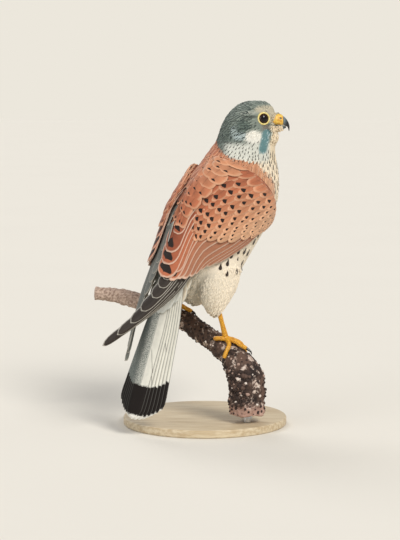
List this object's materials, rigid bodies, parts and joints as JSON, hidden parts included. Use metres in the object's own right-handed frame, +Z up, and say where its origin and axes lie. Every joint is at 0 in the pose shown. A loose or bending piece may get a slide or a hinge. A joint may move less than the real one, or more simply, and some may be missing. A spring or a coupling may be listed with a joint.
{
  "type": "common kestrel, adult male, life-size still model on a perch",
  "caption": "Life-size still model of an adult male common kestrel, perched on a short cut branch above a plain round display stand.",
  "frame": {"origin": "centre of the display stand's underside", "axes": "+Z up, +X the way the bill points, -Y the side the bird's right wing faces"},
  "size_m": [0.1978, 0.1727, 0.3242],
  "materials": {
    "slate_plumage": "matte feathers, slate grey over a whitish cheek and collar",
    "cream_plumage": "matte feathers, cream with dark streaks and drops",
    "chestnut_plumage": "matte feathers, chestnut with dark spots and blackish flight feathers",
    "grey_plumage": "matte feathers, pale grey with a black band and white tips",
    "bare_skin": "scaly yellow skin",
    "horn": "smooth slate-blue horn, black at the tip",
    "claw_horn": "smooth black horn",
    "eye": "wet dark brown",
    "bark": "rough bark with pale lichen",
    "board": "satin pale wood",
    "steel": "satin"
  },
  "bodies": {
    "root": {"head": "slate_plumage", "neck": "slate_plumage", "torso": "cream_plumage", "thigh_right": "cream_plumage", "thigh_left": "cream_plumage", "wing_right": "chestnut_plumage", "wing_left": "chestnut_plumage", "tail": "grey_plumage", "cere": "bare_skin", "lid_right": "bare_skin", "lid_left": "bare_skin", "tarsus_right": "bare_skin", "tarsus_left": "bare_skin", "foot_right": "bare_skin", "foot_left": "bare_skin", "bill_upper": "horn", "bill_lower": "horn", "claw_hind_right": "claw_horn", "claw_outer_right": "claw_horn", "claw_middle_right": "claw_horn", "claw_inner_right": "claw_horn", "claw_hind_left": "claw_horn", "claw_outer_left": "claw_horn", "claw_middle_left": "claw_horn", "claw_inner_left": "claw_horn", "eye_right": "eye", "eye_left": "eye", "perch": "bark", "stand_base": "board", "stand_rod": "steel"}
  },
  "joints": []
}
